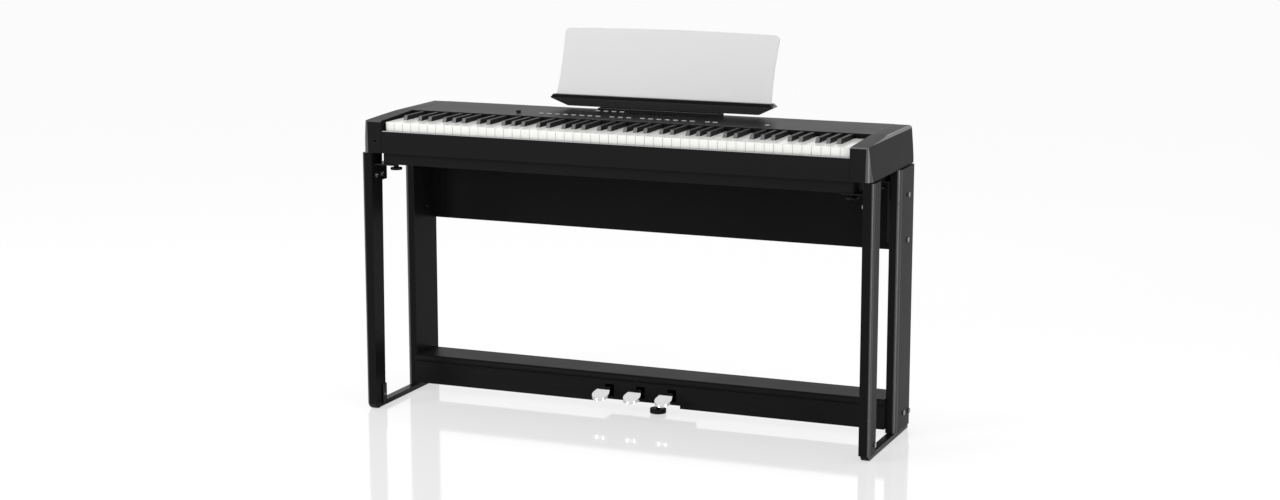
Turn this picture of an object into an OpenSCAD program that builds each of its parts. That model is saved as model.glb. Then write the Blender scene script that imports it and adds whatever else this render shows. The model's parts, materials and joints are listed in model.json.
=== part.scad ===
// Digital piano with 88 keys on a furniture stand with a three-pedal shelf.
// Millimetres. +X towards the treble end, +Y towards the back, +Z up, origin on the floor
// under the middle of the whole object.

/* [Keys] */
// Distance from one white key to the next
key_pitch = 23.5; // [19:0.5:29]
// Gap between neighbouring keys
key_gap = 1; // [0.8:0.1:1.5]
// Height of a white key's front
key_h = 22; // [18:1:24]
// Length of a white key's wide head
head_len = 50; // [42:1:60]
// Length of a white key that shows in front of the top cover
key_show = 159.5; // [140:1:175]
// Width of a black key at its foot
black_w = 11; // [9:0.5:12.5]
// Height of a black key above the white keys
black_h = 11; // [9:0.5:12]
// How far a key's front edge goes down
key_dip = 10; // [8:0.5:11]
// From a white key's front to its pivot rod
key_reach = 283; // [260:1:290]
// Width of a key's tail inside the case
tail_w = 9; // [7:0.5:9]

/* [Body] */
// Front to back depth of the case
body_d = 375; // [355:1:450]
// Width of an end block
block_w = 53; // [44:1:64]
// Height of an end block at its front
block_h = 82; // [78:1:98]
// How much an end block leans in from its foot to its top
block_lean = 10; // [4:1:14]
// Radius of the upright front and back corners
corner_r = 18; // [10:1:24]
// Height of the keybed tray below the end blocks
tray_h = 30; // [26:1:36]
// How far the tray is set back from the front
tray_setback = 18; // [12:1:24]
// Wall of the case's moulded parts
wall = 3.5; // [2.5:0.5:5]

/* [Stand] */
// Height of the stand's legs above the floor
stand_h = 671; // [560:1:810]
// Thickness of the legs, side to side
leg_t = 28; // [22:1:34]
// Depth of a front leg at its top
front_leg_d = 57; // [46:1:69]
// Depth of a front leg at its foot
front_leg_foot_d = 49; // [40:1:60]
// Depth of a rear leg
rear_leg_d = 125; // [104:1:150]
// Height of the back panel
back_panel_h = 186; // [155:1:224]
// Thickness of the back panel
back_panel_t = 15; // [12:1:18]
// Height of the legs' feet above the floor
foot_h = 14; // [11:1:17]
// Width of a foot rail
rail_w = 20; // [16:1:24]

/* [Pedal shelf] */
// Height of the shelf's top above the floor
shelf_z = 102; // [95:1:122]
// Depth of the shelf's top board
shelf_d = 107; // [100:1:128]
// Thickness of the shelf's top board
shelf_t = 18; // [15:1:22]
// Thickness of the shelf's front board
front_board_t = 15; // [12:1:18]
// Height of the front board's lower edge above the floor
front_board_z = 25; // [20:1:30]
// Distance from one pedal to the next
pedal_pitch = 86; // [72:1:103]
// Length of a pedal in front of the shelf's front board
pedal_show = 80; // [62:1:90]
// Width of a pedal near its front
pedal_w = 44; // [36:1:52]
// How far a pedal turns, in degrees
pedal_turn = 8; // [4:1:9]

/* [Music rest] */
// Width of the clear panel
rest_w = 592; // [495:1:710]
// Length of the clear panel up its slope
rest_h = 186; // [155:1:223]
// Lean of the clear panel from upright, in degrees
rest_lean = 20.6; // [15:0.1:26]
// Thickness of the clear panel
rest_t = 4; // [3:0.5:5]

/* [Hidden] */
KEY_NAMES = ["c", "c_sharp", "d", "d_sharp", "e", "f", "f_sharp", "g", "g_sharp", "a", "a_sharp", "b"];
$fn = 48;
eps = 0.01;
// Far enough to cut clean through any piece
through = 4000;

// Keyboard: 52 white keys from A to C
white_count = 52;
keys_w = white_count * key_pitch;
cheek_gap = 6;
cheek_x = keys_w / 2 + cheek_gap;
body_x = cheek_x + block_w;
seam = 0.5;

// Heights of the case
body_gap = 2;
case_z = stand_h + body_gap;
tray_z = case_z - tray_h;
top_rise = 8.5;
front_top_z = case_z + block_h;
top_z = front_top_z + top_rise;
key_top = front_top_z - 4;
key_z = key_top - key_h;
slip_z = key_z - 1;

// Depths of the case, from its front face
key_y = 16.5;
lip_y = key_y + key_show;
lip_drop = 10;
cover_t = 4;
rear_panel_t = 6;
rear_panel_y = body_d - 1 - rear_panel_t;
tray_floor = 3;

// Key action
key_rod_y = key_y + key_reach;
key_rod_z = key_z + 7;
rod_r = 2;
rod_fit = 0.06;
tail_drop = 8;
tail_end_y = key_rod_y + 12;
hammer_arm = 57;
actuator_y = key_y + 56;
actuator_r = 3;
hammer_rod_y = actuator_y + hammer_arm;
hammer_rod_z = key_z - 29;
hammer_t = 7;
hammer_half_h = 5;
hammer_tail = 125;
hammer_nose = 9;
weight_len = 30;
weight_drop = 15;
strike_gap = 0.4;
felt_t = 6;
frame_floor = 4;
frame_z = tray_z + tray_floor;
rib_t = 2;
front_rail_y = key_y + 9;
front_rail_d = 14;
front_felt_top = key_z - key_dip - 0.6;
rest_rail_y = hammer_rod_y + hammer_tail - 22;
rest_rail_d = 18;
weight_z = hammer_rod_z - hammer_half_h - weight_drop;

// Stand
leg_out = body_x + 6;
leg_in = leg_out - leg_t;
front_leg_y = 5;
rear_leg_y = body_d - 18 - rear_leg_d;
leg_edge_r = 8;
back_panel_top = tray_z - 3;
back_panel_z = back_panel_top - back_panel_h;
back_panel_y = rear_leg_y + rear_leg_d - back_panel_t - 1;
rail_x = (leg_out + leg_in) / 2;
rail_base = 1.5;
rail_end_y = rear_leg_y + rear_leg_d - 5;
rail_y = front_leg_y + 3;
tab_t = 3;
tab_h = 62;
tab_d = 20;
bracket_t = 3;
bracket_z = tray_z - bracket_t;
bracket_drop = 44;
// Where each bracket stands: its front, its depth, its reach inwards, its thumb screw's x and y
bracket_in = leg_in - 56;
front_bracket_y = front_leg_y + 9;
front_bracket_d = 66;
front_screw = [leg_in - 42.5, front_leg_y + 53];
rear_bracket_y = rear_leg_y - 8;
rear_bracket_d = 70;
rear_screw = [leg_in - 24, rear_leg_y - 3];
screw_r = 3;
screw_fit = 0.1;
bolt_r = 3;
bolt_fit = 0.06;
bolt_head_r = 6.5;
bolt_head_h = 3;
bolt_bite = 16;
// Bolts through the legs' outer faces into the back panel's angles, y and z
angle_d = 56;
panel_bolts = [[back_panel_y - 42, back_panel_top - 38], [back_panel_y - 42, back_panel_z + 36]];
// Bolts through the legs' outer faces into the foot rails' tabs
rail_bolts = [[front_leg_y + 41, tab_h - 28], [rail_end_y - tab_d / 2, tab_h - 14]];

// Pedal shelf
shelf_y = rear_leg_y - 17;
front_board_y = shelf_y + 6;
front_board_top = shelf_z - shelf_t;
shelf_end = shelf_y + shelf_d;
cleat_t = 20;
cleat_h = 46;
cleat_y = front_board_y + front_board_t + 12;
cleat_d = shelf_end - cleat_y - 14;
cleat_bolts = [[cleat_y + cleat_d - 14, front_board_top - 30]];
notch_x = 109;
notch_h = 8;

// Pedals
pedal_root_y = front_board_y + front_board_t;
pedal_pivot_y = pedal_root_y + 56;
pedal_pivot_z = front_board_top - 20;
pedal_tip_y = front_board_y - pedal_show;
pedal_arm_w = 14;
pedal_arm_t = 9;
pedal_slot_w = pedal_arm_w + 10;
pedal_t = 7;
pedal_fall = 24;
pedal_rod_r = 3;
box_x = pedal_pitch + 32;
box_t = 2.5;
box_end = shelf_end - 6;
box_z = front_board_z + notch_h;
adjuster_x = 0.42 * pedal_pitch;
adjuster_y = pedal_root_y + 18;
adjuster_lift = 0.5;
adjuster_r = 21;
adjuster_h = 12;
adjuster_stem_r = 5;
adjuster_fit = 0.08;

// Controls on the top cover: start x, count, pitch
button_rows = [[-276, 8, 22.4], [-81, 3, 23], [2, 7, 22.4], [177, 2, 20]];
upper_row = [-163, 4, 22.4];
controls_y = lip_y + 54;
upper_y = lip_y + 156;
button_w = 12;
button_d = 5;
button_proud = 1.6;
button_fit = 0.4;
power_x = 334;
power_r = 6;
slider_x = -341;
slider_travel = 26;
slider_w = 11;
slider_d = 8;
display_x = [-78, 146];
display_y = [lip_y + 120, lip_y + 160];
glass_t = 2;
board_z = top_z - 18;
board_t = 1.6;

// Sockets
socket_x = -(cheek_x + 17.5);
// Big and small headphone socket: height below the front top edge, barrel radius, bore, depth
phone_sockets = [[52, 5.5, 3.2, 30], [28, 4, 1.8, 16]];
// Rear sockets: x, barrel radius, bore radius
rear_sockets = [[-560, 6, 2.75], [-340, 8, 6], [-310, 8, 6], [-270, 5.5, 3.2], [-245, 5.5, 3.2]];
rear_socket_z = case_z + 26;
rear_socket_len = 20;

// Speakers on the back panel
speaker_x = 440;
speaker_w = 124;
speaker_h = 76;
speaker_z = case_z + 45;
magnet_r = 28;

// Music rest
ledge_y = body_d - 23;
ledge_top = top_z + 36.5;
ledge_low = top_z + 5.5;
ledge_lip = 10;
ledge_x = rest_w / 2 + 2;
ledge_tip = 9;
ledge_cut = 44;
ledge_d = 34;
rest_base_x = 168;
tongue_x = [104, 140];
tongue_y = [body_d - 21, body_d - 16];
tongue_len = 12;
rest_foot_y = ledge_y + 14;
rest_foot_z = ledge_top - 9;
rest_waist = 3;
rest_crown = 5;
rest_corner_r = 12;
rest_steps = 12;
rest_top_y = rest_foot_y + (rest_h + rest_crown) * sin(rest_lean) + rest_t * cos(rest_lean);

// The object's middle, front to back
mid_y = max(rest_top_y, body_d) / 2;

module place() {
    translate([0, -mid_y, 0]) children();
}

// A box from its low corner to its high corner
module block(low, high) {
    translate(low) cube([high.x - low.x, high.y - low.y, high.z - low.z]);
}

// A rod along X
module rod_x(x0, x1, y, z, r) {
    translate([x0, y, z]) rotate([0, 90, 0]) cylinder(r = r, h = x1 - x0);
}

// A rod along Y
module rod_y(x, y0, y1, z, r) {
    translate([x, y0, z]) rotate([-90, 0, 0]) cylinder(r = r, h = y1 - y0);
}

// An outline in the YZ plane, extruded along X
module side_profile(points, x0, x1) {
    translate([x0, 0, 0]) rotate([90, 0, 90]) linear_extrude(x1 - x0) polygon(points);
}

// An outline in the XZ plane, extruded along Y
module front_profile(points, y0, y1) {
    translate([0, y1, 0]) rotate([90, 0, 0]) linear_extrude(y1 - y0) polygon(points);
}

module both_sides() {
    children();
    mirror([1, 0, 0]) children();
}

// A plan outline whose two outer corners are round
module outer_round_plan(x0, x1, y0, y1, r) {
    translate([x0, y0]) square([x1 - x0 - r, y1 - y0]);
    translate([x0, y0 + r]) square([x1 - x0, y1 - y0 - 2 * r]);
    for (y = [y0 + r, y1 - r]) translate([x1 - r, y]) circle(r = r);
}

// A button-head bolt: the head is above z = 0 and the shank below it
module bolt(grip) {
    translate([0, 0, -grip]) cylinder(r = bolt_r, h = grip + eps);
    difference() {
        cylinder(r = bolt_head_r, h = bolt_head_h);
        translate([0, 0, 1]) cylinder(r = 2.3, h = bolt_head_h, $fn = 6);
    }
}

// Where the bolts of one side go, on the right: outer face of the rear leg
module outer_bolt_places() {
    for (p = concat(panel_bolts, cleat_bolts, rail_bolts)) {
        translate([leg_out, p.x, p.y]) rotate([0, 90, 0]) children();
    }
}

// Bolts on the inner faces, through a flange of the given thickness
module inner_bolt_places() {
    for (y = [front_bracket_y + 10, front_bracket_y + 38, rear_bracket_y + 30, rear_bracket_y + 58]) {
        translate([leg_in - bracket_t, y, bracket_z - 27]) rotate([0, -90, 0]) children();
    }
}

module bolt_hole(depth) {
    translate([0, 0, -depth]) cylinder(r = bolt_r + bolt_fit, h = depth + bolt_head_h);
}

/* ---- Stand ---- */

module front_leg_shape() {
    difference() {
        intersection() {
            translate([0, 0, foot_h]) linear_extrude(stand_h - foot_h)
                outer_round_plan(leg_in, leg_out, front_leg_y, front_leg_y + front_leg_d, leg_edge_r);
            side_profile([
                [front_leg_y, 0], [front_leg_y, stand_h], [front_leg_y + front_leg_d, stand_h],
                [front_leg_y + front_leg_foot_d, 0]
            ], leg_in - 1, leg_out + 1);
        }
        outer_bolt_places() bolt_hole(leg_t + 1);
        inner_bolt_places() bolt_hole(bolt_bite + bracket_t);
    }
}

module rear_leg_shape() {
    difference() {
        translate([0, 0, foot_h]) linear_extrude(stand_h - foot_h)
            outer_round_plan(leg_in, leg_out, rear_leg_y, rear_leg_y + rear_leg_d, leg_edge_r + 4);
        outer_bolt_places() bolt_hole(leg_t + 1);
        inner_bolt_places() bolt_hole(bolt_bite + bracket_t);
    }
}

module front_leg_right() color([0.06, 0.06, 0.06]) place() front_leg_shape();
module front_leg_left() color([0.06, 0.06, 0.06]) mirror([1, 0, 0]) place() front_leg_shape();
module rear_leg_right() color([0.07, 0.07, 0.07]) place() rear_leg_shape();
module rear_leg_left() color([0.07, 0.07, 0.07]) mirror([1, 0, 0]) place() rear_leg_shape();

// Each rail runs under both legs and has a tab against the inner face of each
module foot_rails() color([0.1, 0.1, 0.1]) place() both_sides() difference() {
    union() {
        side_profile([
            [rail_y, foot_h], [rail_y, foot_h - 5], [rail_y + 10, rail_base], [rail_end_y, rail_base],
            [rail_end_y, foot_h]
        ], rail_x - rail_w / 2, rail_x + rail_w / 2);
        for (y = [rail_bolts[0].x, rail_bolts[1].x]) {
            block([leg_in - tab_t, y - tab_d / 2, foot_h - tab_t], [rail_x, y + tab_d / 2, foot_h]);
            block([leg_in - tab_t, y - tab_d / 2, foot_h - tab_t], [leg_in, y + tab_d / 2, tab_h]);
        }
    }
    outer_bolt_places() bolt_hole(leg_t + bolt_bite);
}

// An angle bracket: one flange on the leg, one under the piano's tray
module bracket_shape(y0, depth, screw) {
    difference() {
        union() {
            block([leg_in - bracket_t, y0, bracket_z - bracket_drop], [leg_in, y0 + depth, bracket_z]);
            block([bracket_in, y0, bracket_z], [leg_in, y0 + depth, bracket_z + bracket_t]);
        }
        inner_bolt_places() bolt_hole(bolt_bite);
        translate([screw.x, screw.y, 0]) cylinder(r = screw_r + screw_fit, h = through);
    }
}

module top_brackets() color([0.12, 0.12, 0.12]) place() both_sides() {
    bracket_shape(front_bracket_y, front_bracket_d, front_screw);
    bracket_shape(rear_bracket_y, rear_bracket_d, rear_screw);
    panel_angle();
}

// An angle that holds the back panel's end to the leg
module panel_angle() difference() {
    union() {
        block([leg_in - bracket_t, back_panel_y - angle_d, back_panel_z + 18],
            [leg_in, back_panel_y, back_panel_top - 18]);
        block([leg_in - 36, back_panel_y - bracket_t, back_panel_z + 18],
            [leg_in, back_panel_y, back_panel_top - 18]);
    }
    outer_bolt_places() bolt_hole(leg_t + bolt_bite);
    inner_bolt_places() bolt_hole(bolt_bite);
}

module back_panel() color([0.05, 0.05, 0.05]) place()
    block([-leg_in, back_panel_y, back_panel_z], [leg_in, back_panel_y + back_panel_t, back_panel_top]);

// A hand screw: stem up through the bracket into the tray's insert, neck and disc below
module hand_screw(p) {
    translate([p.x, p.y, bracket_z - 10]) cylinder(r = 6.5, h = 10);
    translate([p.x, p.y, bracket_z - 16]) cylinder(r = 15, h = 6 + eps);
    translate([p.x, p.y, bracket_z - eps]) cylinder(r = screw_r, h = bracket_t + tray_floor - 0.3);
}

module thumb_screws() color([0.1, 0.1, 0.1]) place() both_sides() {
    hand_screw(front_screw);
    hand_screw(rear_screw);
}

module frame_bolts() color([0.25, 0.25, 0.25]) place() both_sides() {
    for (p = concat(panel_bolts, rail_bolts)) {
        translate([leg_out, p.x, p.y]) rotate([0, 90, 0]) bolt(leg_t + bracket_t);
    }
    for (p = cleat_bolts) translate([leg_out, p.x, p.y]) rotate([0, 90, 0]) bolt(leg_t + bolt_bite);
    inner_bolt_places() bolt(bolt_bite);
}

// Flat pads under both ends of each rail
module floor_glides() color([0.08, 0.08, 0.08]) place() both_sides() {
    for (y = [rail_y + 24, rail_end_y - 14]) {
        translate([rail_x, y, 0]) cylinder(r = rail_w / 2 - 1, h = rail_base);
    }
}

/* ---- Pedal shelf ---- */

module shelf_top() color([0.13, 0.13, 0.13]) place() difference() {
    union() {
        block([-leg_in, shelf_y + shelf_t / 2, front_board_top], [leg_in, shelf_end, shelf_z]);
        rod_x(-leg_in, leg_in, shelf_y + shelf_t / 2, front_board_top + shelf_t / 2, shelf_t / 2);
        both_sides() block([leg_in - cleat_t, cleat_y, front_board_top - cleat_h],
            [leg_in, cleat_y + cleat_d, front_board_top]);
    }
    both_sides() outer_bolt_places() bolt_hole(leg_t + bolt_bite + 1);
}

module pedal_places() {
    for (i = [-1, 0, 1]) translate([i * pedal_pitch, 0, 0]) children();
}

module shelf_front() color([0.07, 0.07, 0.07]) place() difference() {
    block([-leg_in, front_board_y, front_board_z], [leg_in, front_board_y + front_board_t, front_board_top]);
    block([-notch_x, 0, 0], [notch_x, through, front_board_z + notch_h]);
    pedal_places() block([-pedal_slot_w / 2, 0, pedal_slot_low], [pedal_slot_w / 2, through, pedal_slot_high]);
}

// The slot leaves room for the pedal's arm over its whole turn
pedal_slot_reach = pedal_pivot_y - front_board_y;
pedal_slot_high = pedal_pivot_z + pedal_arm_t / 2 + 4;
pedal_slot_low = pedal_pivot_z - pedal_arm_t / 2 - pedal_slot_reach * sin(pedal_turn) - 9;

module pedal_rod_holes() {
    rod_x(-box_x - 1, box_x + 1, pedal_pivot_y, pedal_pivot_z, pedal_rod_r + 0.05);
}

// A moulded box behind the front board that holds the pedals' rod and the adjuster's nut
module pedal_box() color([0.05, 0.05, 0.05]) place() difference() {
    block([-box_x, pedal_root_y, box_z], [box_x, box_end, front_board_top]);
    block([-box_x + box_t, pedal_root_y - 1, box_z + box_t],
        [box_x - box_t, box_end - box_t, front_board_top - box_t]);
    translate([adjuster_x, adjuster_y, 0]) cylinder(r = adjuster_stem_r + adjuster_fit, h = box_z + box_t + 1);
    pedal_rod_holes();
}

// Outline of a pedal from above: wide and round at the front, narrow at the board
module pedal_plan() {
    big = pedal_w / 2;
    small = pedal_arm_w / 2;
    front_c = pedal_tip_y + big;
    rear_c = front_board_y - 2;
    turn = asin((big - small) / (rear_c - front_c));
    translate([0, front_c]) circle(r = big);
    polygon([
        [big * cos(turn), front_c + big * sin(turn)], [small * cos(turn), rear_c + small * sin(turn)],
        [-small * cos(turn), rear_c + small * sin(turn)], [-big * cos(turn), front_c + big * sin(turn)]
    ]);
    translate([-small, rear_c]) square([pedal_arm_w, pedal_pivot_y + 10 - rear_c]);
}

// Side view of a pedal: a level arm inside the box, then a fall to the front
function pedal_line(t) = [
    front_board_y + 2 + (pedal_tip_y - front_board_y - 2) * t,
    pedal_pivot_z - pedal_fall * (1 - cos(90 * t)) * 0.55 - pedal_fall * 0.45 * t
];
pedal_steps = 6;

module pedal_shape() difference() {
    intersection() {
        linear_extrude(shelf_z) pedal_plan();
        side_profile(concat(
            [[pedal_pivot_y + 10, pedal_pivot_z + pedal_arm_t / 2]],
            [for (i = [0:pedal_steps]) pedal_line(i / pedal_steps) + [0, pedal_arm_t / 2]],
            [for (i = [pedal_steps:-1:0]) pedal_line(i / pedal_steps) + [0, pedal_arm_t / 2 - pedal_t]],
            [[pedal_root_y, pedal_pivot_z - pedal_arm_t / 2], [pedal_pivot_y + 10, pedal_pivot_z - pedal_arm_t / 2]]
        ), -pedal_w, pedal_w);
    }
    rod_x(-pedal_w, pedal_w, pedal_pivot_y, pedal_pivot_z, pedal_rod_r + rod_fit);
}

module pedal_left() color("silver") place() translate([-pedal_pitch, 0, 0]) pedal_shape();
module pedal_middle() color("silver") place() pedal_shape();
module pedal_right() color("silver") place() translate([pedal_pitch, 0, 0]) pedal_shape();

module pedal_adjuster() color([0.05, 0.05, 0.05]) place() translate([adjuster_x, adjuster_y, adjuster_lift]) {
    cylinder(r = adjuster_r, h = adjuster_h);
    cylinder(r = adjuster_stem_r, h = box_z + box_t + 2);
}

/* ---- Case ---- */

// Plan of the tray, with cut front corners
tray_x = cheek_x + 17;
function tray_plan(inset) = [
    [-tray_x + 14 + inset * 0.6, tray_setback + inset], [tray_x - 14 - inset * 0.6, tray_setback + inset],
    [tray_x - inset, tray_setback + 30], [tray_x - inset, body_d - 4 - inset],
    [-tray_x + inset, body_d - 4 - inset], [-tray_x + inset, tray_setback + 30]
];

module bottom_case() color([0.06, 0.06, 0.06]) place() difference() {
    translate([0, 0, tray_z]) linear_extrude(tray_h) polygon(tray_plan(0));
    translate([0, 0, tray_z + tray_floor]) linear_extrude(tray_h) polygon(tray_plan(wall));
    both_sides() for (p = [front_screw, rear_screw]) {
        translate([p.x, p.y, tray_z - 1]) cylinder(r = screw_r + screw_fit, h = tray_floor + 2);
    }
}

front_panel_t = 12;

module front_panel() color([0.07, 0.07, 0.07]) place() {
    panel_x = cheek_x - seam;
    block([-panel_x, 0, case_z], [panel_x, front_panel_t, slip_z]);
    block([-panel_x, front_panel_t - eps, case_z], [panel_x, tray_setback + wall, case_z + 4]);
}

// Top line of an end block: it rises beside the keys and is level beside the cover
block_profile = [
    [0, case_z], [0, front_top_z - 3], [3, front_top_z], [lip_y, top_z],
    [body_d - 5, top_z], [body_d, top_z - 5], [body_d, case_z]
];

module end_block_shape() difference() {
    intersection() {
        translate([0, 0, case_z]) linear_extrude(top_z - case_z)
            outer_round_plan(cheek_x, body_x, 0, body_d, corner_r);
        side_profile(block_profile, cheek_x - 1, body_x + 1);
        block_end_section();
    }
    block([cheek_x + wall, wall + 2, case_z + wall],
        [body_x - block_lean - 2 * wall, lip_y + 8, front_top_z - 2 * wall]);
    block([cheek_x - 1, lip_y + 7, case_z + wall],
        [body_x - block_lean - 2 * wall, body_d - wall - 4, front_top_z - 2 * wall]);
}

// Leaning outer side with a round top edge
module block_end_section() {
    edge_r = 8;
    full_h = top_z - case_z;
    lean = atan(block_lean / full_h);
    edge_c = [body_x - block_lean - edge_r * (1 / cos(lean) - tan(lean)) , top_z - edge_r];
    translate([0, body_d + 1, 0]) rotate([90, 0, 0]) linear_extrude(body_d + 2) {
        polygon([
            [cheek_x - 1, case_z], [body_x, case_z],
            [edge_c.x + edge_r * cos(lean), edge_c.y + edge_r * sin(lean)],
            [edge_c.x, edge_c.y], [edge_c.x, top_z], [cheek_x - 1, top_z]
        ]);
        translate(edge_c) circle(r = edge_r);
    }
}

module end_block_right() color([0.08, 0.08, 0.08]) place() end_block_shape();

module end_block_left() color([0.08, 0.08, 0.08]) place() difference() {
    mirror([1, 0, 0]) end_block_shape();
    for (s = phone_sockets) rod_y(socket_x, -1, 20, front_top_z - s[0], s[1] + 0.1);
}

// Every place of a small button
module button_places() {
    for (row = button_rows) for (i = [0:row[1] - 1]) {
        translate([row[0] + i * row[2], controls_y, 0]) children();
    }
    for (i = [0:upper_row[1] - 1]) translate([upper_row[0] + i * upper_row[2], upper_y, 0]) children();
}

module button_body(grow, low, high) {
    translate([-button_w / 2 - grow, -button_d / 2 - grow, low])
        cube([button_w + 2 * grow, button_d + 2 * grow, high - low]);
}

module top_cover() color([0.07, 0.07, 0.07]) place() difference() {
    cover_x = cheek_x - seam;
    union() {
        block([-cover_x, lip_y, top_z - cover_t], [cover_x, body_d - 1, top_z]);
        block([-cover_x, lip_y, top_z - lip_drop], [cover_x, lip_y + wall, top_z]);
    }
    button_places() button_body(button_fit, top_z - cover_t - 1, top_z + 1);
    translate([power_x, controls_y, top_z - cover_t - 1]) cylinder(r = power_r + button_fit, h = cover_t + 2);
    block([slider_x - 4, controls_y - 2, top_z - cover_t - 1],
        [slider_x + slider_travel + 4, controls_y + 2, top_z + 1]);
    block([display_x[0], display_y[0], top_z - glass_t], [display_x[1], display_y[1], top_z + 1]);
    block([display_x[0] + 8, display_y[0] + 6, top_z - cover_t - 1],
        [display_x[1] - 8, display_y[1] - 6, top_z + 1]);
    both_sides() block([tongue_x[0] - 0.5, tongue_y[0] - 0.5, top_z - cover_t - 1],
        [tongue_x[1] + 0.5, tongue_y[1] + 0.5, top_z + 1]);
}

module display_window() color([0.1, 0.12, 0.13]) place()
    block([display_x[0] + 0.2, display_y[0] + 0.2, top_z - glass_t],
        [display_x[1] - 0.2, display_y[1] - 0.2, top_z]);

module rear_panel() color([0.06, 0.06, 0.06]) place() difference() {
    panel_x = cheek_x - seam;
    block([-panel_x, rear_panel_y, case_z], [panel_x, rear_panel_y + rear_panel_t, top_z - cover_t]);
    for (s = rear_sockets) rod_y(s[0], rear_panel_y - 1, body_d + 1, rear_socket_z, s[1] + 0.1);
    both_sides() for (i = [-4:4]) {
        block([speaker_x + i * 11 - 2, rear_panel_y - 1, speaker_z - 26],
            [speaker_x + i * 11 + 2, body_d + 1, speaker_z + 26]);
    }
}

module headphone_jacks() color([0.15, 0.15, 0.15]) place() for (s = phone_sockets) difference() {
    rod_y(socket_x, 0.6, s[3] + 4, front_top_z - s[0], s[1]);
    rod_y(socket_x, -1, 0.6 + s[3], front_top_z - s[0], s[2]);
}

module rear_jacks() color([0.15, 0.15, 0.15]) place() for (s = rear_sockets) difference() {
    rod_y(s[0], rear_panel_y - rear_socket_len, body_d, rear_socket_z, s[1]);
    rod_y(s[0], rear_panel_y - rear_socket_len + 4, body_d + 1, rear_socket_z, s[2]);
}

module speakers() color([0.12, 0.12, 0.12]) place() both_sides() {
    block([speaker_x - speaker_w / 2, rear_panel_y - 4, speaker_z - speaker_h / 2],
        [speaker_x + speaker_w / 2, rear_panel_y, speaker_z + speaker_h / 2]);
    rod_y(speaker_x, rear_panel_y - 36, rear_panel_y - 4 + eps, speaker_z, magnet_r);
}

// Board under the buttons, main board behind the keys, and the headphone board
module circuit_boards() color([0.05, 0.3, 0.12]) place() {
    block([slider_x - 20, controls_y - 24, board_z], [power_x + 30, upper_y + 18, board_z + board_t]);
    block([-300, key_rod_y + 24, frame_z + 8], [-60, rear_panel_y - 8, frame_z + 8 + board_t]);
    block([socket_x - 14, phone_sockets[0][3] + 5, case_z + 10],
        [socket_x + 13, phone_sockets[0][3] + 5 + board_t, front_top_z - 12]);
}

module volume_slider() color([0.15, 0.15, 0.15]) place() translate([slider_x, controls_y, 0]) {
    block([-slider_w / 2, -slider_d / 2, top_z + 0.5], [slider_w / 2, slider_d / 2, top_z + 5.5]);
    block([-1.5, -1.5, board_z + board_t + 1], [1.5, 1.5, top_z + 0.5 + eps]);
}

module power_button() color([0.2, 0.2, 0.2]) place()
    translate([power_x, controls_y, board_z + board_t + 2])
        cylinder(r = power_r, h = top_z + button_proud - board_z - board_t - 2);

module panel_buttons() color([0.35, 0.35, 0.35]) place() button_places()
    button_body(0, board_z + board_t + 2, top_z + button_proud);

/* ---- Key action ---- */

octave = 7 * key_pitch;
first_c = -keys_w / 2 + 2 * key_pitch;
function octave_x(o) = first_c + o * octave;

// White keys' places in an octave, and black keys' middles; -1 where a key has none
WHITE_SLOT = [0, -1, 1, -1, 2, 3, -1, 4, -1, 5, -1, 6];
pair_shift = 2.1;
trio_shift = 3.4;
BLACK_MID = [
    0, key_pitch - pair_shift, 0, 2 * key_pitch + pair_shift, 0, 0, 4 * key_pitch - trio_shift,
    0, 5 * key_pitch, 0, 6 * key_pitch + trio_shift, 0
];
black_room = black_w / 2 + key_gap;

function is_black(k) = WHITE_SLOT[k] < 0;
// Octaves in which a key is found: the lowest A, A sharp and B are below the first C
function first_octave(k) = k >= 9 ? -1 : 0;
function last_octave(k) = k == 0 ? 7 : 6;
function white_left(k, o) = octave_x(o) + WHITE_SLOT[k] * key_pitch + key_gap / 2;
function white_right(k, o) = white_left(k, o) + key_pitch - key_gap;
function lowest(k, o) = k == 9 && o == -1;
function highest(k, o) = k == 0 && o == 7;
// Sides of a white key's narrow part, between the black keys
function neck_left(k, o) = k == 0 || k == 5 || lowest(k, o)
    ? white_left(k, o) : octave_x(o) + BLACK_MID[k - 1] + black_room;
function neck_right(k, o) = k == 4 || k == 11 || highest(k, o)
    ? white_right(k, o) : octave_x(o) + BLACK_MID[k + 1] - black_room;
function key_mid(k, o) = is_black(k)
    ? octave_x(o) + BLACK_MID[k] : (neck_left(k, o) + neck_right(k, o)) / 2;

module key_tail(x) {
    block([x - tail_w / 2, lip_y - 3, key_z], [x + tail_w / 2, tail_end_y, key_top - tail_drop]);
}

// The foot under a key that pushes its hammer
module actuator(x) {
    tip_z = hammer_rod_z + hammer_half_h + strike_gap + actuator_r;
    block([x - 3, actuator_y - actuator_r, tip_z], [x + 3, actuator_y + actuator_r, key_z + eps]);
    rod_x(x - 3, x + 3, actuator_y, tip_z, actuator_r);
}

module key_bore(x) {
    rod_x(x - tail_w, x + tail_w, key_rod_y, key_rod_z, rod_r + rod_fit);
}

module white_key(k, o) difference() {
    x = key_mid(k, o);
    union() {
        block([white_left(k, o), key_y, key_z], [white_right(k, o), key_y + head_len, key_top]);
        block([neck_left(k, o), key_y, key_z], [neck_right(k, o), lip_y - 2, key_top]);
        key_tail(x);
        actuator(x);
    }
    key_bore(x);
}

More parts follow.
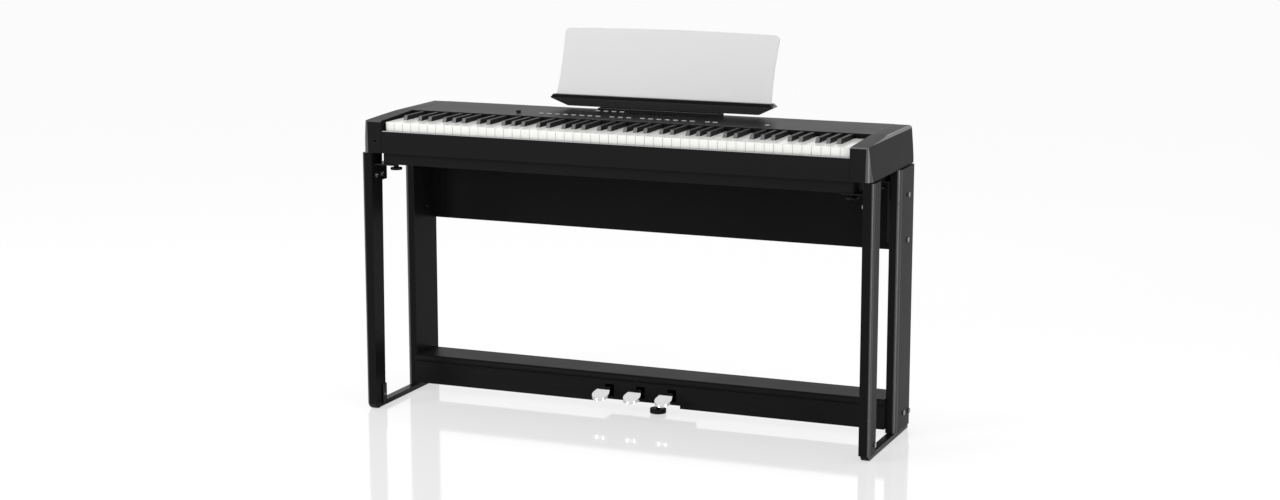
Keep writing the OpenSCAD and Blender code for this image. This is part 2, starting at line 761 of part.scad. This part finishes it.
module black_key(k, o) difference() {
    x = key_mid(k, o);
    black_y = key_y + head_len + 2;
    union() {
        intersection() {
            side_profile([
                [black_y, key_top - 3], [black_y + 2, key_top + 1], [black_y + 7, key_top + black_h],
                [lip_y - 4, key_top + black_h - 0.5], [lip_y - 2.5, key_top - 3]
            ], x - black_w, x + black_w);
            front_profile([
                [x - black_w / 2, key_top - 3], [x + black_w / 2, key_top - 3],
                [x + black_w / 2 - 1.2, key_top + black_h], [x - black_w / 2 + 1.2, key_top + black_h]
            ], black_y - 1, lip_y);
        }
        block([x - black_w / 2 + 0.5, black_y, key_z], [x + black_w / 2 - 0.5, lip_y - 2.5, key_top - 3 + eps]);
        key_tail(x);
        actuator(x);
    }
    key_bore(x);
}

module keys(k) color(is_black(k) ? [0.08, 0.08, 0.08] : [0.93, 0.93, 0.91]) place() {
    for (o = [first_octave(k):last_octave(k)]) {
        if (is_black(k)) black_key(k, o);
        else white_key(k, o);
    }
}

// A weighted lever on the lower rod: the key pushes its nose and its tail rises
module hammer(x) difference() {
    tail_y = hammer_rod_y + hammer_tail;
    union() {
        block([x - hammer_t / 2, actuator_y - hammer_nose, hammer_rod_z - hammer_half_h],
            [x + hammer_t / 2, tail_y, hammer_rod_z + hammer_half_h]);
        block([x - hammer_t / 2, tail_y - weight_len, weight_z],
            [x + hammer_t / 2, tail_y, hammer_rod_z + hammer_half_h]);
    }
    rod_x(x - hammer_t, x + hammer_t, hammer_rod_y, hammer_rod_z, rod_r + rod_fit);
}

module hammers(k) color([0.6, 0.6, 0.62]) place() {
    for (o = [first_octave(k):last_octave(k)]) hammer(key_mid(k, o));
}

// Ribs stand between the octaves and at both ends, and hold both rods
rib_xs = concat([for (o = [0:7]) octave_x(o)], [-keys_w / 2 - 3, keys_w / 2 + 3]);

module key_rib(x) {
    side_profile([
        [front_rail_y, frame_z], [front_rail_y, frame_z + 20], [hammer_rod_y - 12, frame_z + 20],
        [hammer_rod_y - 6, hammer_rod_z + 6], [hammer_rod_y + 6, hammer_rod_z + 6],
        [hammer_rod_y + 12, frame_z + 20], [key_rod_y - 18, frame_z + 20],
        [key_rod_y - 7, key_rod_z + 5], [key_rod_y + 7, key_rod_z + 5], [key_rod_y + 14, frame_z]
    ], x - rib_t / 2, x + rib_t / 2);
}

module key_frame() color([0.2, 0.2, 0.2]) place() difference() {
    frame_x = keys_w / 2 + 4;
    union() {
        block([-frame_x, front_rail_y, frame_z], [frame_x, key_rod_y + 14, frame_z + frame_floor]);
        block([-frame_x, front_rail_y, frame_z],
            [frame_x, front_rail_y + front_rail_d, front_felt_top - felt_t]);
        block([-frame_x, rest_rail_y, frame_z], [frame_x, rest_rail_y + rest_rail_d, weight_z - felt_t - 0.3]);
        for (x = rib_xs) key_rib(x);
    }
    rod_x(-through / 2, through / 2, key_rod_y, key_rod_z, rod_r + rod_fit);
    rod_x(-through / 2, through / 2, hammer_rod_y, hammer_rod_z, rod_r + rod_fit);
}

// Felt that the keys land on, and felt that the hammers' weights rest on
module key_felts() color([0.5, 0.1, 0.1]) place() {
    felt_x = keys_w / 2 - 1;
    block([-felt_x, front_rail_y, front_felt_top - felt_t], [felt_x, front_rail_y + front_rail_d, front_felt_top]);
    difference() {
        block([-felt_x, rest_rail_y, weight_z - felt_t - 0.3],
            [felt_x, rest_rail_y + rest_rail_d, weight_z - 0.3]);
        for (x = rib_xs) block([x - rib_t, 0, 0], [x + rib_t, through, through]);
    }
}

module pivot_rods() color([0.7, 0.7, 0.72]) place() {
    rod_end = keys_w / 2 + 4;
    rod_x(-rod_end, rod_end, key_rod_y, key_rod_z, rod_r);
    rod_x(-rod_end, rod_end, hammer_rod_y, hammer_rod_z, rod_r);
    rod_x(-box_x - 1, box_x + 1, pedal_pivot_y, pedal_pivot_z, pedal_rod_r);
}

/* ---- Music rest ---- */

// Outline of the clear panel: waisted sides, round corners and a crowned top
function rest_side(t) = rest_w / 2 - rest_waist * (1 - pow(2 * t - 1, 2));
function rest_top(x) = rest_h + rest_crown * (1 - pow(2 * x / rest_w, 2));
rest_outline = concat(
    [for (i = [0:rest_steps]) [rest_side(i / rest_steps), (rest_h - rest_corner_r) * i / rest_steps]],
    [for (i = [1:5]) [
        rest_w / 2 - rest_corner_r * (1 - cos(15 * i)), rest_h - rest_corner_r * (1 - sin(15 * i))
    ]],
    [for (i = [0:rest_steps]) let (x = (rest_w / 2 - rest_corner_r) * (1 - 2 * i / rest_steps)) [x, rest_top(x)]],
    [for (i = [5:-1:1]) [
        -rest_w / 2 + rest_corner_r * (1 - cos(15 * i)), rest_h - rest_corner_r * (1 - sin(15 * i))
    ]],
    [for (i = [rest_steps:-1:0]) [-rest_side(i / rest_steps), (rest_h - rest_corner_r) * i / rest_steps]]
);

module rest_slab(outline, thickness) {
    translate([0, rest_foot_y, rest_foot_z]) rotate([90 - rest_lean, 0, 0])
        translate([0, 0, -thickness]) linear_extrude(thickness) polygon(outline);
}

module music_rest_panel() color([0.85, 0.85, 0.85, 0.5]) place() rest_slab(rest_outline, rest_t);

// A tray with a front lip and cut ends, a base, and two tongues that drop into the cover
module music_rest_ledge() color([0.06, 0.06, 0.06]) place() difference() {
    union() {
        intersection() {
            side_profile([
                [ledge_y, ledge_top - ledge_lip], [ledge_y, ledge_top], [ledge_y + 3, ledge_top],
                [ledge_y + 3, ledge_top - 7], [ledge_y + 14, ledge_top - 7], [ledge_y + 14, ledge_top - 1],
                [ledge_y + ledge_d - 4, ledge_top - 1], [ledge_y + ledge_d, ledge_top - 8],
                [ledge_y + ledge_d - 4, ledge_low], [ledge_y + 15, ledge_low]
            ], -ledge_x - ledge_tip, ledge_x + ledge_tip);
            front_profile([
                [-ledge_x, ledge_top + 1], [-ledge_x - ledge_tip, ledge_top - ledge_lip],
                [-ledge_x - ledge_tip + ledge_cut, ledge_low - eps],
                [ledge_x + ledge_tip - ledge_cut, ledge_low - eps],
                [ledge_x + ledge_tip, ledge_top - ledge_lip], [ledge_x, ledge_top + 1]
            ], ledge_y - 1, ledge_y + ledge_d + 1);
        }
        block([-rest_base_x, ledge_y - 10, top_z], [rest_base_x, body_d - 4, ledge_low + 1]);
        both_sides() block([tongue_x[0], tongue_y[0], top_z - tongue_len], [tongue_x[1], tongue_y[1], top_z + eps]);
    }
    rest_slab([for (p = rest_outline) [p.x * 1.001, p.y]], rest_t);
}

front_leg_left();
front_leg_right();
rear_leg_left();
rear_leg_right();
foot_rails();
top_brackets();
back_panel();
shelf_top();
shelf_front();
pedal_box();
pedal_left();
pedal_middle();
pedal_right();
pedal_adjuster();
thumb_screws();
frame_bolts();
floor_glides();
bottom_case();
front_panel();
end_block_left();
end_block_right();
top_cover();
rear_panel();
display_window();
key_frame();
key_felts();
pivot_rods();
circuit_boards();
speakers();
headphone_jacks();
rear_jacks();
music_rest_panel();
music_rest_ledge();
volume_slider();
power_button();
panel_buttons();
for (k = [0:11]) {
    keys(k);
    hammers(k);
}
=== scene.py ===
"""A digital piano with a clear music rest, on a panel stand with a pedal shelf."""
import json
from math import radians

import bmesh
import bpy
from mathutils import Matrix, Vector


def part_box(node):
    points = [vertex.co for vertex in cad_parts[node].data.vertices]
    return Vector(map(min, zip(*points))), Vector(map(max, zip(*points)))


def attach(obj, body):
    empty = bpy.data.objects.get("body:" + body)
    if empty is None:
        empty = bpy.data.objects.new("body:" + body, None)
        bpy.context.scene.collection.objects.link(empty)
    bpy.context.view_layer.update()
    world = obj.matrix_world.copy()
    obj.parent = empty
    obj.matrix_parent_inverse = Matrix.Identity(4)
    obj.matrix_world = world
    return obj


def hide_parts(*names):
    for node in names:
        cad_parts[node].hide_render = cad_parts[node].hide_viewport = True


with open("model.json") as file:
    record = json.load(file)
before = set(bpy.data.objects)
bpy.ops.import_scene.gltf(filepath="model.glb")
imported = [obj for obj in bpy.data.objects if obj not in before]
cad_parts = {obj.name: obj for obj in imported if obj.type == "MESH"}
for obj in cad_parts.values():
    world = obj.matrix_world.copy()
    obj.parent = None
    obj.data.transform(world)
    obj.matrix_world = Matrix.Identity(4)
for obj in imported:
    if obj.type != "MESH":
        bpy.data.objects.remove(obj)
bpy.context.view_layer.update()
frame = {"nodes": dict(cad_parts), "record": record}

MM = 0.001
BODY_OF = {node: body for body, nodes in frame["record"]["behaviour"]["bodies"].items()
           for node in nodes}
SLOT_OF = {part["node"]: part["material_slot"] for part in frame["record"]["subparts"]}

# The case's front face, which the camera's distance is counted from
FRONT_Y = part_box("front_panel")[0][1]

CAMERA_X, CAMERA_BACK, CAMERA_Z = 2.177, 5.118, 1.516
CAMERA_DOWN, CAMERA_LEFT = radians(10.67), radians(22.19)
CAMERA_SENSOR, CAMERA_LENS, CAMERA_REACH = 36.0, 65.11, 100

SKY_STRENGTH = 0.85
FLOOR_SIZE = 40
# How much of the floor mirrors the object, and how blurred that is
FLOOR_SHINE, FLOOR_BLUR = 0.5, 0.08
# How much of the floor's white is its own, so that it meets the sky without a line
FLOOR_GLOW = 0.6


# Helpers

def link(name, data):
    """A new object, put in the scene"""
    obj = bpy.data.objects.new(name, data)
    bpy.context.scene.collection.objects.link(obj)
    return obj


def mesh_data(name, mesh):
    """The mesh that a bmesh holds; the bmesh is freed"""
    data = bpy.data.meshes.new(name)
    mesh.to_mesh(data)
    mesh.free()
    return data


def empty_tree(owner):
    """The node tree of a material or a world, cleared"""
    owner.use_nodes = True
    owner.node_tree.nodes.clear()
    return owner.node_tree


def srgb(code, alpha=1.0):
    """A linear colour from an sRGB hex value"""
    channels = [int(code[i:i + 2], 16) / 255 for i in (1, 3, 5)]
    linear = [c / 12.92 if c <= 0.04045 else ((c + 0.055) / 1.055) ** 2.4 for c in channels]
    return (*linear, alpha)


def add(tree, kind, links=None, **settings):
    """Adds a node: settings are its properties, or its inputs where the name is one"""
    node = tree.nodes.new(kind)
    for name, value in settings.items():
        if hasattr(node, name):
            setattr(node, name, value)
        else:
            node.inputs[name.replace("_", " ")].default_value = value
    for name, socket in (links or {}).items():
        tree.links.new(socket, node.inputs[name])
    return node


# Materials

# Patches of more and less gloss, and how far each goes from the plain roughness
PATCHES_PER_M = 9.0
GLOSS_LOW, GLOSS_HIGH = 0.9, 1.12
GRAIN_DEPTH_MM = 0.1


def material(name, base, roughness, metallic=0.0, grain_mm=1.0, bump=0.1, mottle=0.0,
             stretch=(1, 1, 1), **shader):
    """A finish with a fine surface grain; mottle is how far its colour wanders.

    grain_mm is the size of one grain, stretch how much longer it is along each axis.
    """
    made = bpy.data.materials.new(name)
    tree = empty_tree(made)
    place = add(tree, "ShaderNodeTexCoord")
    turned = add(tree, "ShaderNodeMapping", {"Vector": place.outputs["Object"]},
                 Scale=tuple(1 / s for s in stretch))
    fine = add(tree, "ShaderNodeTexNoise", {"Vector": turned.outputs["Vector"]},
               Scale=1 / (grain_mm * MM), Detail=2.0, Roughness=0.6)
    broad = add(tree, "ShaderNodeTexNoise", {"Vector": place.outputs["Object"]},
                Scale=PATCHES_PER_M, Detail=3.0)
    colour = srgb(base)
    low = tuple(c * (1 - mottle) for c in colour[:3]) + (1,)
    high = tuple(min(1, c * (1 + mottle)) for c in colour[:3]) + (1,)
    shade = add(tree, "ShaderNodeMix", {"Factor": fine.outputs["Fac"]}, data_type="RGBA",
                A=low, B=high)
    gloss = add(tree, "ShaderNodeMapRange", {"Value": broad.outputs["Fac"]},
                To_Min=roughness * GLOSS_LOW, To_Max=min(1, roughness * GLOSS_HIGH))
    height = add(tree, "ShaderNodeBump", {"Height": fine.outputs["Fac"]},
                 Strength=bump, Distance=GRAIN_DEPTH_MM * MM)
    body = add(tree, "ShaderNodeBsdfPrincipled",
               {"Base Color": shade.outputs["Result"], "Roughness": gloss.outputs["Result"],
                "Normal": height.outputs["Normal"]}, Metallic=metallic, **shader)
    add(tree, "ShaderNodeOutputMaterial", {"Surface": body.outputs["BSDF"]})
    return made


FINISH = {
    # Particle board wrapped in satin black foil, flat and nearly without shine
    "stand_board": material("satin foil on board", "#131313", 0.3, grain_mm=2.0, bump=0.06,
                            mottle=0.06, Specular_IOR_Level=0.02),
    # Dark grey wood-grain foil: long faint streaks along the board
    "shelf_board": material("wood-grain foil on board", "#141414", 0.38, grain_mm=2.2, bump=0.25,
                            mottle=0.35, stretch=(40, 1, 1), Specular_IOR_Level=0.03),
    # Powder-coated steel: orange peel about a millimetre across
    "black_steel": material("powder-coated steel", "#0d0d0d", 0.35, grain_mm=1.2, bump=0.3,
                            Specular_IOR_Level=0.12),
    # Bolts: zinc plate, dulled to a mid grey
    "bolt_steel": material("black zinc plate", "#8c8c8e", 0.35, metallic=1.0, grain_mm=1.0),
    # Glass-filled nylon knobs and sockets: even and matte
    "black_plastic": material("moulded nylon", "#0c0c0c", 0.5, grain_mm=0.8, bump=0.25,
                              Specular_IOR_Level=0.12),
    # Moulded rubber: dull, with a coarse skin
    "rubber_pad": material("moulded rubber", "#161616", 0.8, grain_mm=1.0, bump=0.4),
    # Chrome plate over polished steel: mirror-bright, with the faintest ripple
    "chrome_plate": material("chrome plate", "#dcdcdc", 0.09, metallic=1.0, grain_mm=12.0,
                             bump=0.02),
    # ABS with a fine spark-eroded texture: satin black
    "case_plastic": material("moulded ABS", "#191919", 0.3, grain_mm=0.9, bump=0.2, mottle=0.08,
                             Specular_IOR_Level=0.015),
    # Smoked acrylic window: near black, smooth and glossy
    "display_glass": material("smoked acrylic", "#0c0d0e", 0.08, grain_mm=8.0, bump=0.0),
    # Pressed wool felt: dark red, soft and uneven
    "felt": material("pressed wool felt", "#7a2a2a", 0.95, grain_mm=1.5, bump=0.8, mottle=0.3),
    # Ground steel rod: fine marks drawn along its length
    "rod_steel": material("ground steel", "#9a9a9c", 0.25, metallic=1.0, grain_mm=0.8,
                          stretch=(20, 1, 1)),
    # Circuit board under green solder mask, a little patchy
    "board_laminate": material("solder mask", "#0e5a33", 0.3, grain_mm=3.0, mottle=0.15),
    # Pressed steel speaker frames, painted dark grey
    "speaker_steel": material("painted steel", "#1c1c1c", 0.45, grain_mm=1.2, bump=0.2),
    # Cast acrylic with a light frost: white where the light comes through it
    "clear_acrylic": material("frosted acrylic", "#dadada", 0.35, grain_mm=1.0, bump=0.05,
                              Transmission_Weight=0.5, IOR=1.49),
    # Mid-grey moulded plastic, on the buttons; also on the strip under the keys, where it is a
    # painted highlight
    "grey_plastic": material("moulded button plastic", "#9a9a9a", 0.45, grain_mm=0.8, bump=0.1),
    # Acrylic key tops: smooth, white, softly glossy
    "white_key": material("key acrylic", "#dadad7", 0.22, grain_mm=2.0, bump=0.02, mottle=0.01,
                          Coat_Weight=0.2, Coat_Roughness=0.1),
    # Phenolic black keys, tumbled to a low sheen
    "black_key": material("phenolic resin", "#1c1c1c", 0.4, grain_mm=0.8, bump=0.1, mottle=0.05,
                          Specular_IOR_Level=0.06),
    # Blued steel hammer levers: dark grey metal, half matte
    "hammer_steel": material("blued steel", "#5a5a5e", 0.5, metallic=1.0, grain_mm=1.5),
}


# Painted highlight: rounded edges get a lighter, glossier copy of the finish, so they show bright
# lines as if lit
EDGE_HIGHLIGHT_PAINT = {
    "case_plastic": material("ABS edge with painted highlight", "#3c3c3c", 0.28, grain_mm=0.9, bump=0.1,
                             Specular_IOR_Level=0.5),
    "stand_board": material("foil edge with painted highlight", "#2c2c2c", 0.26, grain_mm=2.0, bump=0.05,
                            Specular_IOR_Level=0.5),
    "black_key": material("resin edge with painted highlight", "#5c5c5c", 0.3, grain_mm=0.8, bump=0.1),
}
# The pieces whose rounded edges get the painted highlight
HIGHLIGHT_PAINTED_NODES = [node for node in SLOT_OF
             if node.startswith(("end_block_", "front_leg_", "rear_leg_"))
             or node in ("top_cover", "music_rest_ledge") or SLOT_OF[node] == "black_key"]


# Pieces

# A face is part of a rounded edge where the largest part of its normal is under this
EDGE_LEAN = 0.985


def paint_edge_highlights(obj, finish):
    """Paints the rounded edges and corners lighter and glossier, as a painted highlight"""
    obj.data.materials.append(finish)
    for face in obj.data.polygons:
        if max(abs(part) for part in face.normal) < EDGE_LEAN:
            face.material_index = 1


def finish_piece(obj, slot, body):
    """Gives a piece its slot's finish and its body"""
    obj.data.materials.clear()
    obj.data.materials.append(FINISH[slot])
    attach(obj, body)


PEDALS = ("pedal_left", "pedal_middle", "pedal_right")
# How far the finished pedals' toes stand above those of the CAD pedals
TOE_LIFT = 8 * MM


def lift_toe(mesh):
    """Raises a pedal in one smooth sweep, from the shelf's front board to halfway to its toe"""
    front = min(v.co.y for v in mesh.verts)
    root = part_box("shelf_front")[0][1]
    for vert in mesh.verts:
        reach = min(1, max(0, 2 * (root - vert.co.y) / (root - front)))
        vert.co.z += TOE_LIFT * reach * reach * (3 - 2 * reach)


# Points this close are one, faces this near to flat are joined, edges from the third angle on
# are rounded, and those still as sharp as the last one afterwards are shaded as sharp
WELD = 0.002 * MM
FLAT_WITHIN, ROUND_FROM, SHARP_FROM = radians(0.5), radians(28), radians(35)


def softened(node, width_mm, segments=2):
    """The CAD piece's own shape, with its sharp edges rounded by that width"""
    mesh = bmesh.new()
    mesh.from_mesh(frame["nodes"][node].data)
    bmesh.ops.remove_doubles(mesh, verts=mesh.verts, dist=WELD)
    bmesh.ops.dissolve_limit(mesh, angle_limit=FLAT_WITHIN, verts=mesh.verts, edges=mesh.edges)
    sharp = [e for e in mesh.edges if e.is_manifold and e.calc_face_angle() > ROUND_FROM]
    bmesh.ops.bevel(mesh, geom=sharp, offset=width_mm * MM, affect="EDGES", segments=segments,
                    profile=0.5, material=-1, clamp_overlap=True)
    if node in PEDALS:
        lift_toe(mesh)
    for face in mesh.faces:
        face.smooth = True
    data = mesh_data(node, mesh)
    data.set_sharp_from_angle(angle=SHARP_FROM)
    obj = link(node + "_finished", data)
    flats = obj.modifiers.new("flat faces stay flat", "WEIGHTED_NORMAL")
    flats.keep_sharp = True
    finish_piece(obj, SLOT_OF[node], BODY_OF[node])
    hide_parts(node)
    # Painted highlight on the rounded edges
    if node in HIGHLIGHT_PAINTED_NODES:
        paint_edge_highlights(obj, EDGE_HIGHLIGHT_PAINT[SLOT_OF[node]])


EDGE_MM = {
    "front_leg_left": 1.5, "front_leg_right": 1.5, "rear_leg_left": 1.5, "rear_leg_right": 1.5,
    "foot_rails": 0.8, "top_brackets": 0.5, "back_panel": 0.8, "shelf_top": 1.2,
    "shelf_front": 0.8, "pedal_box": 1.5, "pedal_left": 2.4, "pedal_middle": 2.4,
    "pedal_right": 2.4, "pedal_adjuster": 1.5, "thumb_screws": 1.2, "frame_bolts": 0.6,
    "bottom_case": 1.0, "front_panel": 1.0, "end_block_left": 1.8, "end_block_right": 1.8,
    "top_cover": 1.6, "rear_panel": 0.8, "music_rest_panel": 0.8, "music_rest_ledge": 0.9,
    "volume_slider": 0.8, "power_button": 0.6, "panel_buttons": 0.6,
}
WHITE_KEY_EDGE_MM, BLACK_KEY_EDGE_MM = 0.6, 1.0

for node, width in EDGE_MM.items():
    softened(node, width, segments=3 if node.startswith(("pedal_", "end_")) else 2)
for node in frame["nodes"]:
    if node.startswith("keys_"):
        softened(node, BLACK_KEY_EDGE_MM if "sharp" in node else WHITE_KEY_EDGE_MM)
    elif node not in EDGE_MM:
        cad = frame["nodes"][node]
        cad.data.materials.clear()
        cad.data.materials.append(FINISH[SLOT_OF[node]])


SLIP_DEEP, SLIP_THICK, SLIP_INSET, SLIP_EDGE = 10 * MM, 1.4 * MM, 2 * MM, 0.4 * MM


def painted_slip_highlight():
    """A light grey strip on the front panel, under the white keys' fronts: a painted highlight
    along the panel's top edge
    """
    low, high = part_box("front_panel")
    mesh = bmesh.new()
    bmesh.ops.create_cube(mesh, size=1)
    bmesh.ops.scale(mesh, verts=mesh.verts,
                    vec=(high[0] - low[0] - 2 * SLIP_INSET, SLIP_DEEP, SLIP_THICK))
    bmesh.ops.translate(mesh, verts=mesh.verts,
                        vec=(0, low[1] + SLIP_INSET + SLIP_DEEP / 2, high[2] + SLIP_THICK / 2))
    bmesh.ops.bevel(mesh, geom=mesh.edges[:], offset=SLIP_EDGE, affect="EDGES", segments=2,
                    profile=0.5, material=-1)
    obj = link("painted_slip_highlight", mesh_data("painted_slip_highlight", mesh))
    finish_piece(obj, "grey_plastic", BODY_OF["front_panel"])


painted_slip_highlight()


# Floor, background and light

def backdrop():
    """A white floor that keeps the object's shadow and a soft reflection, under a white sky"""
    mesh = bmesh.new()
    bmesh.ops.create_grid(mesh, x_segments=1, y_segments=1, size=FLOOR_SIZE)
    floor = link("floor", mesh_data("floor", mesh))
    paint = bpy.data.materials.new("white floor")
    tree = empty_tree(paint)
    matt = add(tree, "ShaderNodeBsdfDiffuse", Color=srgb("#fbfbfb"))
    shine = add(tree, "ShaderNodeBsdfGlossy", Color=srgb("#ffffff"), Roughness=FLOOR_BLUR)
    solid = add(tree, "ShaderNodeMixShader", {1: matt.outputs[0], 2: shine.outputs[0]},
                Fac=FLOOR_SHINE)
    glow = add(tree, "ShaderNodeEmission", Color=srgb("#ffffff"), Strength=1.0)
    ray = add(tree, "ShaderNodeLightPath")
    share = add(tree, "ShaderNodeMath", {0: ray.outputs["Is Camera Ray"]}, operation="MULTIPLY")
    share.inputs[1].default_value = FLOOR_GLOW
    surface = add(tree, "ShaderNodeMixShader",
                  {0: share.outputs[0], 1: solid.outputs[0], 2: glow.outputs[0]})
    add(tree, "ShaderNodeOutputMaterial", {"Surface": surface.outputs[0]})
    floor.data.materials.append(paint)


def sky(strength):
    """White where it is seen, in the open, in glass or in metal, and plain soft light elsewhere"""
    world = bpy.data.worlds.new("white sky")
    bpy.context.scene.world = world
    tree = empty_tree(world)
    ray = add(tree, "ShaderNodeLightPath")
    light = add(tree, "ShaderNodeBackground", Color=srgb("#ffffff"), Strength=strength)
    seen = add(tree, "ShaderNodeBackground", Color=srgb("#ffffff"), Strength=1.0)
    metal = add(tree, "ShaderNodeMath",
                {0: ray.outputs["Is Camera Ray"], 1: ray.outputs["Is Glossy Ray"]},
                operation="MAXIMUM")
    clear = add(tree, "ShaderNodeMath",
                {0: metal.outputs[0], 1: ray.outputs["Is Transmission Ray"]},
                operation="MAXIMUM")
    surface = add(tree, "ShaderNodeMixShader",
                  {0: clear.outputs[0], 1: light.outputs[0], 2: seen.outputs[0]})
    add(tree, "ShaderNodeOutputWorld", {"Surface": surface.outputs[0]})


def softbox(name, place, aim, width, height, power):
    """A rectangular lamp of that power in watts, turned to face a point"""
    lamp = bpy.data.lights.new(name, "AREA")
    lamp.shape = "RECTANGLE"
    lamp.size, lamp.size_y, lamp.energy = width, height, power
    obj = link(name, lamp)
    obj.location = place
    obj.rotation_euler = (Vector(aim) - Vector(place)).to_track_quat("-Z", "Y").to_euler()


backdrop()
sky(SKY_STRENGTH)
softbox("top softbox", (0, -0.2, 3.2), (0, 0, 0.5), 3.0, 1.6, 25)
softbox("left softbox", (-2.6, -3.6, 2.0), (0, 0, 0.6), 1.6, 1.8, 85)
softbox("right softbox", (3.0, -2.2, 0.6), (0.67, -0.2, 0.5), 1.0, 1.2, 26)

lens = bpy.data.cameras.new("camera")
lens.sensor_width, lens.lens = CAMERA_SENSOR, CAMERA_LENS
lens.clip_end = CAMERA_REACH
camera = link("camera", lens)
camera.location = (CAMERA_X, FRONT_Y - CAMERA_BACK, CAMERA_Z)
camera.rotation_euler = (radians(90) - CAMERA_DOWN, 0, CAMERA_LEFT)
bpy.context.scene.camera = camera
bpy.context.scene.view_settings.view_transform = "Standard"
